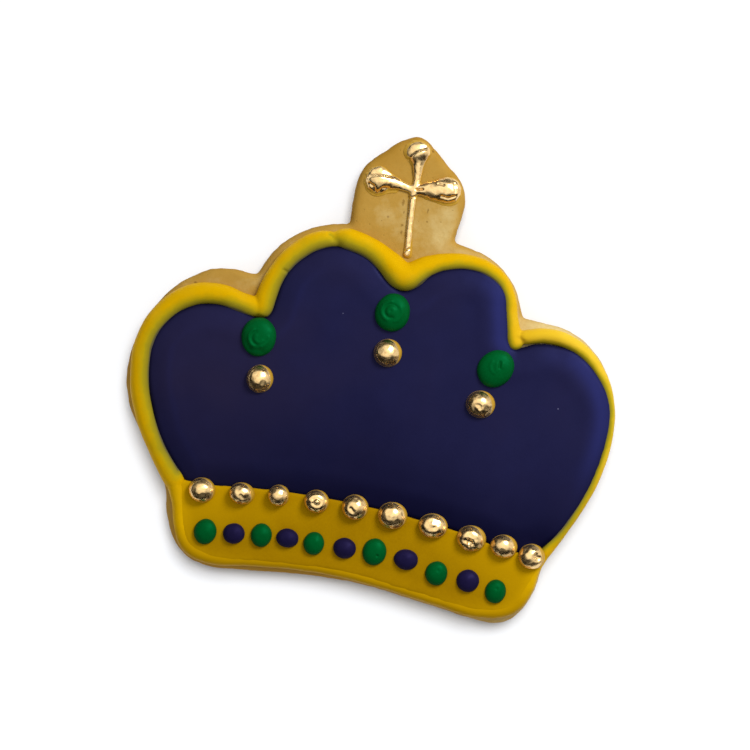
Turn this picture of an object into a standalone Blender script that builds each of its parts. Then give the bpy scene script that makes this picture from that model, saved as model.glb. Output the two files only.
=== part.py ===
"""Decorated butter cookie: a crown cut from rolled dough, iced in violet and yellow, with drops and a cross.

The crown lies flat on its baked underside. +Z is up, +Y runs from the crown's band to its cross, and the
origin is under the middle of its outline. The lengths below are millimetres, and MM makes metres of them.
"""

import math

import bmesh
import bpy
from mathutils import Vector

MM = 0.001

# Heights
DOUGH_THICKNESS = 6.4
TOUCH = 0.3  # clearance that is kept between two pieces that rest on each other
ICING_FLOOR = DOUGH_THICKNESS + TOUCH
VIOLET_DEPTH = 1.5
BAND_DEPTH = 1.2
DROP_FLOOR = ICING_FLOOR + VIOLET_DEPTH + TOUCH
BAND_DROP_FLOOR = ICING_FLOOR + BAND_DEPTH + TOUCH
LOBE_DROP_HEIGHT = 1.7
LOBE_PEARL_HEIGHT = 2.1
ROW_PEARL_HEIGHT = 1.9
BAND_DROP_HEIGHT = 1.1

# Sampling
OUTLINE_STEPS = 3  # straight pieces between two points of an outline
LINE_STEPS = 2  # the same along a piped line
LINE_SIDES = 8
DROP_SIDES = 16
BAND_DROP_SIDES = 12
WELD = 0.000002  # metres
PROFILE_WELD = 0.0001  # in a turned profile of unit size
SHARP_ANGLE = math.radians(40)
SOLVER = "MANIFOLD"  # the lines' undersides share one plane, where the exact solver leaves slivers

# The dough's outline, clockwise, with a crease in each valley and at each foot of the tab under the cross.
LEFT_VALLEY = (-24.4, 12.7)
TAB_LEFT_FOOT = (-9.2, 24.8)
TAB_RIGHT_FOOT = (10.2, 24.8)
RIGHT_VALLEY = (25.0, 13.3)
DOUGH_CREASES = (LEFT_VALLEY, TAB_LEFT_FOOT, TAB_RIGHT_FOOT, RIGHT_VALLEY)
DOUGH_OUTLINE = (
    LEFT_VALLEY, (-23.2, 15.6), (-20.9, 19.1), (-17.0, 22.4), (-12.9, 24.1),
    TAB_LEFT_FOOT, (-9.4, 29.5), (-8.7, 35.2), (-5.4, 38.9), (-1.7, 42.0), (0.9, 42.8), (3.6, 41.2),
    (6.6, 38.5), (9.5, 36.0), (10.9, 32.3), (10.6, 28.4),
    TAB_RIGHT_FOOT, (14.1, 24.1), (18.1, 22.6), (21.3, 20.1), (23.5, 16.9),
    RIGHT_VALLEY, (29.2, 13.1), (33.9, 12.4), (38.5, 9.8), (42.3, 5.5), (44.5, -0.3), (45.0, -6.2),
    (44.1, -13.2), (41.4, -20.4), (38.0, -26.8), (36.4, -30.9), (35.8, -35.4), (34.2, -39.2), (31.2, -42.2),
    (26.6, -42.8), (19.0, -41.8), (10.0, -40.5), (0.0, -39.8), (-10.0, -40.3), (-18.5, -41.2),
    (-25.2, -41.4), (-29.2, -39.8), (-31.9, -36.5), (-33.5, -32.4), (-34.4, -28.4), (-37.2, -24.1),
    (-41.2, -18.4), (-44.1, -13.0), (-45.0, -7.3), (-43.7, -0.4), (-40.6, 6.0), (-36.3, 10.3), (-30.6, 12.9),
)
# Edge of each layer, away from its upright wall: how far in each step goes, and how far up or down.
DOUGH_SHOULDER = ((0.2, 0.7), (0.35, 0.45), (0.6, 0.25))
DOUGH_FOOT = ((0.3, 0.5), (0.5, 0.3))
VIOLET_SHOULDER = ((0.35, 0.4), (0.85, 0.3))
BAND_SHOULDER = ((0.3, 0.3), (0.8, 0.15))

# The band's rows are bowed upwards: each has a crest and a place of it along X, and falls away by its camber.
SEAM = {"crest": -25.7, "middle": -5.0, "camber": 0.0028}
PEARL_ROW = {"crest": -26.1, "middle": -1.0, "camber": 0.0025}
BAND_DROP_ROW = {"crest": -33.6, "middle": -2.5, "camber": 0.0031}
SEAM_ENDS = (31.0, -27.0)  # between these the seam keeps to its row, and beyond them it meets the border
SEAM_CORNERS = ((35.5, -27.9), (-31.2, -26.0))
SEAM_POINTS = 8

# The violet icing's edge from its lower left corner, clockwise to its lower right one. The seam closes it.
VIOLET_NOTCHES = ((-22.6, 5.2), (2.6, 14.2), (23.9, 7.6))
VIOLET_EDGE = (
    (-34.2, -22.3), (-38.2, -16.0), (-40.4, -9.2), (-40.7, -3.2), (-38.6, 1.6), (-34.4, 5.0), (-28.8, 6.0),
    VIOLET_NOTCHES[0], (-20.0, 9.6), (-18.4, 14.3), (-15.4, 17.9), (-10.9, 20.0), (-5.9, 19.3), (-1.6, 16.4),
    VIOLET_NOTCHES[1], (6.4, 17.2), (10.6, 19.8), (15.3, 20.2), (19.1, 18.7), (21.2, 15.4), (22.1, 11.5),
    VIOLET_NOTCHES[2], (28.6, 8.9), (34.2, 8.9), (38.4, 6.5), (41.6, 3.0), (43.2, -1.6), (43.4, -6.6),
    (42.3, -13.5), (40.3, -19.6), (38.1, -24.0),
)
BAND_EDGE = (
    (35.1, -33.4), (33.2, -38.6), (27.4, -40.9), (14.0, -39.8), (0.0, -38.4), (-14.0, -39.0), (-24.8, -39.8),
    (-28.6, -38.2), (-31.4, -33.0),
)

# Piped yellow lines: points on the middle of each line, with its half width there.
LEFT_LOBE_LINE = (
    (-33.0, -26.9, 1.7), (-36.5, -21.6, 1.9), (-40.4, -14.9, 1.9), (-42.4, -8.0, 1.9), (-42.3, -2.6, 1.9),
    (-40.1, 2.8, 1.9), (-35.8, 6.7, 2.0), (-30.6, 7.9, 2.0), (-26.3, 7.1, 2.0),
)
LEFT_CROWN_LINE = (
    (-22.7, 7.4, 2.0), (-21.8, 10.8, 1.9), (-20.2, 14.6, 1.8), (-17.5, 18.3, 1.9), (-13.7, 21.0, 2.0),
    (-9.3, 21.9, 2.1), (-4.9, 20.9, 2.2), (-1.0, 18.9, 2.4), (2.3, 17.4, 2.6),
)
RIGHT_CROWN_LINE = (
    (2.3, 17.4, 2.6), (6.2, 19.4, 2.1), (9.8, 20.9, 1.8), (13.6, 21.4, 1.6), (17.2, 20.8, 1.5),
    (20.1, 19.0, 1.4), (21.9, 16.2, 1.3), (22.9, 12.6, 1.3), (24.0, 9.2, 1.3),
)
RIGHT_LOBE_LINE = (
    (25.9, 9.9, 1.3), (29.8, 10.8, 1.4), (33.8, 10.4, 1.4), (37.6, 8.5, 1.3), (41.0, 5.1, 1.1),
    (43.3, 0.6, 0.9), (44.1, -5.0, 0.85), (43.4, -12.0, 0.85), (41.4, -18.2, 0.9), (38.8, -23.8, 0.95),
    (36.4, -28.4, 1.0),
)
BAND_LINE = (
    (-32.9, -27.2, 1.5), (-31.8, -30.8, 1.3), (-30.5, -34.8, 1.2), (-28.4, -38.2, 1.2), (-24.6, -39.7, 1.2),
    (-17.0, -39.1, 1.1), (-8.5, -38.3, 1.1), (0.0, -38.2, 1.1), (9.0, -39.0, 1.1), (18.5, -40.2, 1.1),
    (27.4, -40.9, 1.2), (32.1, -39.2, 1.2), (34.3, -35.2, 1.2), (35.0, -31.6, 1.1), (36.4, -28.2, 1.0),
)
# A line's height as a share of its half width. The space that the icing beside it leaves is taller.
BORDER_LINES = (
    (LEFT_LOBE_LINE, 1.0), (LEFT_CROWN_LINE, 1.0), (RIGHT_CROWN_LINE, 1.05), (RIGHT_LOBE_LINE, 1.3),
    (BAND_LINE, 1.3),
)
CLEARANCE_RISE = 1.7

# The cross: strokes from its middle outwards.
CROSS_STROKES = (
    ((1.5, 33.4, 0.8), (1.5, 30.0, 0.6), (1.9, 25.4, 0.65), (2.2, 22.2, 0.75)),
    ((1.5, 32.8, 0.9), (1.5, 35.6, 0.85), (1.3, 38.0, 1.5), (0.9, 39.2, 2.1)),
    ((1.7, 33.0, 0.9), (-0.6, 33.4, 1.2), (-2.8, 33.6, 1.9), (-4.4, 33.7, 2.6)),
    ((1.2, 33.1, 0.9), (3.4, 33.5, 1.5), (5.6, 33.9, 1.9), (7.3, 34.0, 2.2)),
)
CROSS_RISE = 0.9
END_ROUNDING = ((0.97, 0.32), (0.68, 0.78))  # past a line's last point: distance and width shares

# Piped drops on the lobes: place, width, length and a turn in degrees.
LOBE_DROPS = ((-21.9, 1.3, 6.4, 7.1, 4), (1.3, 10.0, 6.3, 7.0, -12), (21.7, 3.3, 6.4, 7.3, -36))
LOBE_PEARLS = ((-20.5, -6.0, 4.7, 4.9, 0), (1.7, 2.7, 4.9, 4.9, 0), (20.0, -3.6, 5.1, 4.8, 0))
# Drops in a row: place along the row, offset from it, width and length.
ROW_PEARLS = (
    (-27.4, 0.0, 4.6, 4.3), (-20.1, -0.2, 4.4, 3.8), (-13.4, 0.1, 3.7, 3.7), (-6.4, -0.1, 4.3, 4.0),
    (0.7, 0.0, 4.6, 4.4), (7.7, -0.1, 5.1, 4.7), (15.3, -0.2, 5.1, 4.3), (22.6, -0.5, 5.1, 4.5),
    (28.7, -0.1, 4.7, 4.1), (34.0, -0.2, 4.6, 4.4),
)
BAND_DROPS = (
    (-25.5, 0.0, 4.2, 4.7), (-20.3, -0.1, 3.8, 3.7), (-15.3, 0.0, 3.9, 4.4), (-10.5, 0.0, 3.9, 3.4),
    (-5.6, -0.3, 3.9, 4.2), (0.1, -0.2, 4.0, 3.7), (5.6, 0.3, 4.4, 5.0), (11.5, 0.3, 4.2, 3.7),
    (17.4, -0.6, 4.1, 4.5), (23.3, -0.1, 4.0, 4.0), (28.6, -0.2, 3.9, 4.4),
)

# Turned profiles of unit radius and height, from the top down the outer side and in along the underside.
PLAIN_DROP = ((0.0, 1.0), (0.42, 0.92), (0.76, 0.66), (1.0, 0.2), (0.95, 0.0), (0.0, 0.0))
SWIRLED_DROP = (
    (0.0, 0.97), (0.14, 1.0), (0.3, 0.93), (0.44, 0.95), (0.68, 0.8), (0.89, 0.52), (1.0, 0.18), (0.96, 0.0),
    (0.0, 0.0),
)
PEARL = (
    (0.0, 1.0), (0.36, 0.94), (0.68, 0.72), (0.87, 0.4), (0.92, 0.16), (1.0, 0.09), (0.98, 0.0), (0.0, 0.0),
)

PALETTE = {
    # name: colour, roughness, metallic
    "baked_dough": ((0.56, 0.36, 0.13), 0.75, 0.0),
    "violet_icing": ((0.022, 0.018, 0.085), 0.45, 0.0),
    "yellow_icing": ((0.74, 0.48, 0.004), 0.5, 0.0),
    "green_icing": ((0.0, 0.13, 0.035), 0.45, 0.0),
    "gold_paint": ((0.86, 0.6, 0.26), 0.22, 1.0),
}


def clear_scene():
    for old in list(bpy.data.objects):
        bpy.data.objects.remove(old)


def new_collection(name):
    collection = bpy.data.collections.new(name)
    bpy.context.scene.collection.children.link(collection)
    return collection


def make_materials():
    for name, (colour, roughness, metallic) in PALETTE.items():
        material = bpy.data.materials.new(name)
        material.use_nodes = True
        material.diffuse_color = (*colour, 1.0)
        shader = material.node_tree.nodes["Principled BSDF"]
        shader.inputs["Base Color"].default_value = (*colour, 1.0)
        shader.inputs["Roughness"].default_value = roughness
        shader.inputs["Metallic"].default_value = metallic


def row_height(x, row):
    """Where one of the band's bowed rows lies at x."""
    return row["crest"] - row["camber"] * (x - row["middle"]) ** 2


def smooth_curve(name, points, steps, cyclic=False, creases=()):
    """A curve through the points, smooth except at the creases. A point's third number is its radius."""
    curve = bpy.data.curves.new(name, "CURVE")
    curve.dimensions = "3D"
    curve.twist_mode = "Z_UP"
    curve.resolution_u = steps
    spline = curve.splines.new("BEZIER")
    spline.use_cyclic_u = cyclic
    spline.radius_interpolation = "LINEAR"
    spline.bezier_points.add(len(points) - 1)
    for knot, point in zip(spline.bezier_points, points):
        knot.co = (point[0] * MM, point[1] * MM, 0.0)
        handle = "VECTOR" if point in creases else "AUTO"
        knot.handle_left_type = handle
        knot.handle_right_type = handle
        knot.radius = point[2] if len(point) > 2 else 1.0
    curve_object = bpy.data.objects.new(name, curve)
    bpy.context.scene.collection.objects.link(curve_object)
    return curve_object


def as_mesh(source):
    """The evaluated mesh of an object, with its seams welded. The object is removed."""
    bpy.context.view_layer.update()
    evaluated = source.evaluated_get(bpy.context.evaluated_depsgraph_get())
    mesh = bpy.data.meshes.new_from_object(evaluated)
    mesh.transform(source.matrix_world)
    bpy.data.objects.remove(source)
    bm = bmesh.new()
    bm.from_mesh(mesh)
    bmesh.ops.remove_doubles(bm, verts=bm.verts, dist=WELD)
    bm.to_mesh(mesh)
    bm.free()
    return mesh


def finish(mesh, name, material, collection):
    """A named object from a closed mesh, with its faces turned outwards and its round sides smooth."""
    bm = bmesh.new()
    bm.from_mesh(mesh)
    bmesh.ops.recalc_face_normals(bm, faces=bm.faces)
    bm.to_mesh(mesh)
    bm.free()
    mesh.name = name
    mesh.materials.clear()
    mesh.materials.append(bpy.data.materials[material])
    mesh.shade_smooth()
    mesh.set_sharp_from_angle(angle=SHARP_ANGLE)
    piece = bpy.data.objects.new(name, mesh)
    collection.objects.link(piece)
    return piece


def layer(name, outline, creases, low, depth, shoulder, foot, material, collection):
    """A flat layer: an outline raised to an upright wall, then stepped inwards at its edges."""
    mesh = as_mesh(smooth_curve("outline", outline, OUTLINE_STEPS, cyclic=True, creases=creases))
    wall_foot = low + sum(rise for _, rise in foot)
    wall_top = low + depth - sum(rise for _, rise in shoulder)
    bm = bmesh.new()
    bm.from_mesh(mesh)
    bmesh.ops.translate(bm, verts=bm.verts, vec=(0, 0, wall_foot * MM))
    bottom = bmesh.ops.contextual_create(bm, geom=bm.edges[:])["faces"]
    raised = bmesh.ops.extrude_face_region(bm, geom=bottom, use_keep_orig=True)["geom"]
    corners = [part for part in raised if isinstance(part, bmesh.types.BMVert)]
    top = [part for part in raised if isinstance(part, bmesh.types.BMFace)]
    bmesh.ops.translate(bm, verts=corners, vec=(0, 0, (wall_top - wall_foot) * MM))
    bmesh.ops.recalc_face_normals(bm, faces=bm.faces)
    for region, steps in ((top, shoulder), (bottom, foot)):
        for inwards, outwards in steps:
            bmesh.ops.inset_region(
                bm, faces=region, thickness=inwards * MM, depth=outwards * MM, use_even_offset=True
            )
    bm.to_mesh(mesh)
    bm.free()
    return finish(mesh, name, material, collection)


def line_section(rise):
    """The cross-section of a piped line of unit half width: flat below, rounded above."""
    curve = bpy.data.curves.new("line_section", "CURVE")
    curve.dimensions = "2D"
    spline = curve.splines.new("POLY")
    spline.use_cyclic_u = True
    spline.points.add(LINE_SIDES)
    for i, point in enumerate(spline.points):
        angle = math.pi * i / LINE_SIDES
        point.co = (math.cos(angle) * MM, rise * math.sin(angle) * MM, 0, 1)
    section = bpy.data.objects.new("line_section", curve)
    bpy.context.scene.collection.objects.link(section)
    return section


def with_round_ends(points):
    """A line's points, with narrower ones added past both ends so that it ends round."""
    longer = list(points)
    for end, inner, place in ((points[0], points[1], 0), (points[-1], points[-2], len(points))):
        outwards = Vector((end[0] - inner[0], end[1] - inner[1])).normalized() * end[2]
        cap = [
            (end[0] + outwards.x * far, end[1] + outwards.y * far, end[2] * share)
            for far, share in END_ROUNDING
        ]
        if place == 0:
            longer = cap + longer
        else:
            longer = longer + cap[::-1]
    return longer


def piped_line(points, rise, widen=0.0):
    """The mesh of a line of icing squeezed out along the points. A widened line also reaches deeper."""
    wide = [(x, y, half_width + widen) for x, y, half_width in points]
    line = smooth_curve("piped_line", with_round_ends(wide), LINE_STEPS)
    section = line_section(rise)
    line.data.bevel_mode = "OBJECT"
    line.data.bevel_object = section
    line.data.use_fill_caps = True
    line.location.z = (ICING_FLOOR - widen) * MM
    mesh = as_mesh(line)
    bpy.data.objects.remove(section)
    return mesh


def fused(meshes, name, material, collection):
    """One solid from several that overlap."""
    whole, *others = meshes
    helpers = new_collection("fused_pieces")
    for i, mesh in enumerate(others):
        finish(mesh, f"fused_piece_{i}", material, helpers)
    piece = finish(whole, name, material, collection)
    union = piece.modifiers.new("fuse", "BOOLEAN")
    union.operation = "UNION"
    union.operand_type = "COLLECTION"
    union.collection = helpers
    union.solver = SOLVER
    mesh = as_mesh(piece)
    for helper in list(helpers.objects):
        bpy.data.objects.remove(helper)
    bpy.data.collections.remove(helpers)
    return finish(mesh, name, material, collection)


def keep_clear(piece, cutter):
    """Cut a piece back to the clearance round its neighbour."""
    cut = piece.modifiers.new("clearance", "BOOLEAN")
    cut.operation = "DIFFERENCE"
    cut.object = cutter
    cut.solver = SOLVER


def turned_profile(name, profile, material):
    """A profile in the XZ plane, ready for a Screw modifier."""
    bm = bmesh.new()
    corners = [bm.verts.new((radius, 0, height)) for radius, height in profile]
    for upper, lower in zip(corners, corners[1:]):
        bm.edges.new((upper, lower))
    mesh = bpy.data.meshes.new(name)
    bm.to_mesh(mesh)
    bm.free()
    mesh.materials.append(bpy.data.materials[material])
    return mesh


def drop(name, profile, sides, place, size, turn, collection):
    """A drop of icing: a turned profile of unit size, stretched to its own width, length and height."""
    piece = bpy.data.objects.new(name, profile)
    collection.objects.link(piece)
    piece.location = [coordinate * MM for coordinate in place]
    piece.scale = (size[0] / 2 * MM, size[1] / 2 * MM, size[2] * MM)
    piece.rotation_euler.z = math.radians(turn)
    screw = piece.modifiers.new("turn", "SCREW")
    screw.steps = sides
    screw.render_steps = sides
    screw.use_merge_vertices = True
    screw.merge_threshold = PROFILE_WELD
    return piece


def bake_dough(collection):
    return layer(
        "dough", DOUGH_OUTLINE, DOUGH_CREASES, 0.0, DOUGH_THICKNESS, DOUGH_SHOULDER, DOUGH_FOOT,
        "baked_dough", collection,
    )


def pipe_border(name, collection, widen=0.0, rise=None):
    """The five yellow lines round the violet icing and the band, as one solid."""
    lines = [piped_line(points, rise or own_rise, widen) for points, own_rise in BORDER_LINES]
    return fused(lines, name, "yellow_icing", collection)


def seam_points(gap):
    """The seam between the violet icing and the band, from corner to corner and moved down by a gap."""
    right, left = SEAM_ENDS
    places = [right + (left - right) * i / (SEAM_POINTS - 1) for i in range(SEAM_POINTS)]
    along_row = [(x, row_height(x, SEAM)) for x in places]
    return [(x, y - gap) for x, y in (SEAM_CORNERS[0], *along_row, SEAM_CORNERS[1])]


def flood_violet(collection):
    seam = seam_points(0.0)
    return layer(
        "violet_icing", (*VIOLET_EDGE, *seam), (*VIOLET_NOTCHES, seam[0], seam[-1]), ICING_FLOOR,
        VIOLET_DEPTH, VIOLET_SHOULDER, (), "violet_icing", collection,
    )


def flood_band(collection):
    seam = seam_points(TOUCH)
    return layer(
        "band_icing", (*seam[::-1], *BAND_EDGE), (seam[0], seam[-1]), ICING_FLOOR, BAND_DEPTH,
        BAND_SHOULDER, (), "yellow_icing", collection,
    )


def place_lobe_drops(collection):
    swirled = turned_profile("swirled_drop", SWIRLED_DROP, "green_icing")
    pearl = turned_profile("pearl", PEARL, "gold_paint")
    for side, (x, y, width, length, turn) in zip(("left", "middle", "right"), LOBE_DROPS):
        size = (width, length, LOBE_DROP_HEIGHT)
        drop(f"lobe_drop_{side}", swirled, DROP_SIDES, (x, y, DROP_FLOOR), size, turn, collection)
    for side, (x, y, width, length, turn) in zip(("left", "middle", "right"), LOBE_PEARLS):
        size = (width, length, LOBE_PEARL_HEIGHT)
        drop(f"lobe_pearl_{side}", pearl, DROP_SIDES, (x, y, DROP_FLOOR), size, turn, collection)
    for i, (x, offset, width, length) in enumerate(ROW_PEARLS, start=1):
        place = (x, row_height(x, PEARL_ROW) + offset, DROP_FLOOR)
        size = (width, length, ROW_PEARL_HEIGHT)
        drop(f"row_pearl_{i:02d}", pearl, DROP_SIDES, place, size, 0, collection)


def place_band_drops(collection):
    green = turned_profile("green_drop", PLAIN_DROP, "green_icing")
    violet = turned_profile("violet_drop", PLAIN_DROP, "violet_icing")
    for i, (x, offset, width, length) in enumerate(BAND_DROPS, start=1):
        place = (x, row_height(x, BAND_DROP_ROW) + offset, BAND_DROP_FLOOR)
        size = (width, length, BAND_DROP_HEIGHT)
        drop(f"band_drop_{i:02d}", green if i % 2 else violet, BAND_DROP_SIDES, place, size, 0, collection)


def pipe_cross(collection):
    strokes = [piped_line(points, CROSS_RISE) for points in CROSS_STROKES]
    return fused(strokes, "cross", "gold_paint", collection)


def centre_on_origin(dough, collections):
    """Hang every piece on an empty that brings the middle of the dough's outline over the origin."""
    low = [min(corner[axis] for corner in dough.bound_box) for axis in range(2)]
    high = [max(corner[axis] for corner in dough.bound_box) for axis in range(2)]
    middle = bpy.data.objects.new("middle_of_outline", None)
    collections[0].objects.link(middle)
    middle.location = (-(low[0] + high[0]) / 2, -(low[1] + high[1]) / 2, 0.0)
    for collection in collections:
        for piece in collection.objects:
            if piece is not middle:
                piece.parent = middle


def main():
    clear_scene()
    make_materials()
    cookie = new_collection("butter_cookie")
    cutters = new_collection("cutters")
    dough = bake_dough(cookie)
    pipe_border("yellow_border", cookie)
    clearance = pipe_border("border_clearance", cutters, TOUCH, CLEARANCE_RISE)
    clearance.hide_render = True
    clearance.display_type = "WIRE"
    for flood in (flood_violet(cookie), flood_band(cookie)):
        keep_clear(flood, clearance)
    place_lobe_drops(cookie)
    place_band_drops(cookie)
    pipe_cross(cookie)
    centre_on_origin(dough, (cookie, cutters))
    bpy.context.view_layer.update()


main()
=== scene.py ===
"""Looks of the decorated butter cookie: baked dough, flooded and piped royal icing, gilded drops and a cross.

Lengths are in millimetres and MM turns them into metres. Places given as (x, y) are in the crown's own frame,
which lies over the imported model's as AT_REST says.
"""

import math

import bmesh
import bpy
import numpy as np
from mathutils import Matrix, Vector, noise


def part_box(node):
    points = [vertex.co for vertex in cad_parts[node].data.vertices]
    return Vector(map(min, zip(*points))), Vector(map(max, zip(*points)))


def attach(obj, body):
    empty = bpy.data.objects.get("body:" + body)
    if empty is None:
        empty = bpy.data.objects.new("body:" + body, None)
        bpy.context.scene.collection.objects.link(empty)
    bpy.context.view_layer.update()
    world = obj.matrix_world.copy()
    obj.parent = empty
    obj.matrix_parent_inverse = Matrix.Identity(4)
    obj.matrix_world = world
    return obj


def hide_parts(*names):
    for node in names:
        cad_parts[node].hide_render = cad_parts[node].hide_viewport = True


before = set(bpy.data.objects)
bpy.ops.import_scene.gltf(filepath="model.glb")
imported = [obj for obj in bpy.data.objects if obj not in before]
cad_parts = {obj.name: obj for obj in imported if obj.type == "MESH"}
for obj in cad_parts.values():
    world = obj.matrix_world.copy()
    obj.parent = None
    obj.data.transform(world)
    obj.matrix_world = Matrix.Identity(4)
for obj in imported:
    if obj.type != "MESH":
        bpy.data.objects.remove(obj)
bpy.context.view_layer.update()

MM = 0.001

# Heights
DOUGH_TOP = 6.4
ICING_FOOT = 6.2  # the icing is sunk a little into the dough it sits on
LINE_FLOOR = 6.7
VIOLET_TOP = 8.4
BAND_TOP = 7.88
DROP_SINK = 0.55

# Size of the small faces in each piece's net
DOUGH_NET, BORDER_NET, VIOLET_NET, BAND_NET, CROSS_NET = 0.45, 0.26, 0.42, 0.4, 0.13
DOUGH_RUBS, PIPED_RUBS, POOL_RUBS = 7, 3, 2  # how often a net is rubbed smooth
SAME_PLACE = 1e-6  # corners nearer than this, in metres, are one

# The seam between the violet icing and the band: height of its crest, place of the crest and camber
SEAM = (-25.7, -5.0, 0.0028)
SEAM_ENDS = (31.0, -26.5)
SEAM_CORNERS = ((35.5, -27.9), (-30.5, -26.9))
SEAM_POINTS = 8
SEAM_LAP = 0.4  # how far the band's icing runs under the violet at the seam

VIOLET_EDGE = (
    (-32.6, -25.1), (-34.4, -23.0), (-36.2, -20.7), (-37.3, -18.8), (-38.9, -15.0), (-40.4, -11.0),
    (-41.2, -6.7), (-41.1, -2.3), (-39.0, 1.8), (-35.1, 5.0), (-32.1, 5.9), (-27.6, 6.1), (-24.6, 5.4),
    (-22.4, 4.9), (-20.9, 6.0), (-20.4, 8.1), (-19.6, 12.6), (-18.2, 15.5), (-16.1, 17.8),
    (-13.7, 19.5), (-10.5, 20.35), (-7.2, 20.0), (-4.1, 18.8), (-1.3, 16.3), (0.6, 14.9), (2.4, 14.35),
    (4.0, 15.15), (5.4, 16.8), (7.2, 18.4), (10.7, 20.05), (14.5, 20.55), (18.0, 19.9), (20.8, 17.6),
    (21.9, 14.0), (22.7, 10.7), (23.2, 8.5), (24.2, 7.5), (25.6, 7.9), (28.2, 9.0), (32.4, 9.3),
    (35.8, 8.7), (39.8, 5.8), (42.9, 1.6), (44.0, -3.0), (43.75, -7.5), (43.05, -12.15), (41.95, -16.5),
    (40.35, -20.75), (38.55, -24.4),
)
VIOLET_LAP = 0.35  # how much of the violet's edge lies hidden against the border
BAND_EDGE = (
    (35.1, -33.4), (33.2, -38.6), (27.4, -40.9), (14.0, -39.8), (0.0, -38.4), (-14.0, -39.0),
    (-24.8, -39.8), (-28.3, -38.2), (-30.8, -33.0), (-32.1, -28.6), (-32.3, -26.9),
)

# Piped lines: middle and half width. The icing flooded against a line laps over its inner side.
LEFT_LOBE_LINE = (
    (-32.75, -26.9, 1.9), (-34.9, -24.3, 1.85), (-36.8, -21.7, 1.8), (-40.6, -15.0, 1.8),
    (-42.4, -8.0, 1.9), (-42.3, -2.6, 1.9), (-40.1, 2.8, 1.9), (-35.8, 6.7, 2.0), (-30.6, 7.9, 2.0),
    (-26.6, 7.1, 2.0), (-24.0, 6.7, 1.9),
)
INNER_LEFT_LINE = (
    (-22.2, 6.9, 1.95), (-21.7, 10.4, 1.9), (-20.2, 14.6, 1.8), (-17.5, 18.3, 1.85), (-13.9, 20.9, 1.8),
    (-10.6, 21.6, 1.3),
)
MIDDLE_LINE = (
    (-11.9, 21.9, 0.9), (-10.9, 22.0, 1.5), (-9.3, 21.9, 2.1), (-4.9, 20.9, 2.1), (-1.0, 18.9, 2.4),
    (2.2, 17.0, 2.7), (6.3, 19.6, 2.0), (9.8, 21.0, 1.65), (13.6, 21.5, 1.5), (17.2, 20.8, 1.5),
    (20.1, 19.0, 1.4), (21.9, 16.2, 1.3), (22.9, 12.6, 1.3), (24.2, 8.6, 1.55),
)
RIGHT_LOBE_LINE = (
    (25.9, 9.9, 1.3), (29.8, 10.8, 1.4), (33.8, 10.4, 1.4), (37.6, 8.5, 1.3), (41.0, 5.1, 1.1),
    (43.3, 0.6, 0.9), (44.1, -5.0, 0.85), (43.4, -12.0, 0.85), (41.4, -18.2, 0.9), (38.8, -23.8, 0.95),
    (36.4, -28.4, 1.0),
)
BAND_LINE = (
    (-32.6, -27.2, 1.5), (-31.3, -30.8, 1.3), (-30.2, -34.9, 1.25), (-28.4, -38.3, 1.2),
    (-24.6, -39.7, 1.2), (-17.0, -39.1, 1.1), (-8.5, -38.3, 1.1), (0.0, -38.2, 1.1), (9.0, -39.0, 1.1),
    (18.5, -40.2, 1.1), (27.4, -40.9, 1.2), (32.1, -39.2, 1.2), (34.3, -35.2, 1.2), (35.0, -31.6, 1.1),
    (36.4, -28.2, 1.0),
)
LINES = (  # points, height as a share of the half width, lap (negative where the flood lies on the left)
    (LEFT_LOBE_LINE, 1.0, 0.0), (INNER_LEFT_LINE, 1.0, 0.0), (MIDDLE_LINE, 1.05, 0.0),
    (RIGHT_LOBE_LINE, 1.3, 0.0), (BAND_LINE, 1.06, -0.1),
)
LINE_ROOT = 0.6  # depth of a line below its floor, as a share of its half width
CAP_SIDES = 20
LINE_FLANK = 0.98  # half width of the part that is sunk in the dough, as a share of the line's
END_ROUNDING = ((0.97, 0.32), (0.68, 0.78))  # how far past an end, and the width there, in half widths
BORDER_MARKS = (  # line, depth, width
    (((-12.5, 22.2), (-12.0, 22.0), (-11.7, 21.5)), 0.3, 0.4),
    (((-19.6, 14.3), (-18.9, 14.0)), 0.35, 0.25),
    (((24.9, 9.5), (25.6, 9.0)), 0.2, 0.35),
)

# The cross's strokes: foot, head, left arm and right arm, each by its middle and half width
CROSS_STROKES = (
    (
        (2.0, 21.2, 0.66), (1.9, 22.9, 0.62), (1.6, 26.5, 0.62), (1.4, 29.8, 0.65), (1.3, 31.6, 0.72),
        (1.4, 32.9, 0.88),
    ),
    ((1.4, 32.9, 0.85), (1.5, 34.8, 0.7), (1.35, 36.4, 0.92), (1.2, 38.0, 1.3), (0.85, 39.6, 2.25)),
    ((1.2, 32.8, 0.8), (0.0, 33.1, 0.8), (-1.5, 33.4, 1.0), (-3.4, 33.6, 1.65), (-5.2, 33.6, 2.6)),
    (
        (1.3, 32.9, 0.9), (2.2, 33.1, 1.1), (3.8, 33.4, 1.6), (5.1, 33.5, 1.95), (6.4, 33.8, 2.3),
        (7.4, 33.9, 2.4),
    ),
)
CROSS_SPREAD = (  # icing that ran out under the strokes and stayed bare
    ((1.15, 37.6, 1.3), (0.75, 39.6, 2.55)), ((-3.0, 33.3, 1.8), (-5.3, 33.4, 2.85)),
    ((4.4, 33.3, 1.9), (7.4, 33.7, 2.7)), ((2.15, 21.1, 0.8), (1.85, 24.0, 0.65)),
)
CROSS_RISE = 0.52
CROSS_CAP = 56.0
CROSS_STEP = 0.03
SPREAD_RISE = 0.08
SPREAD_FLOOR = 6.5

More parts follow.
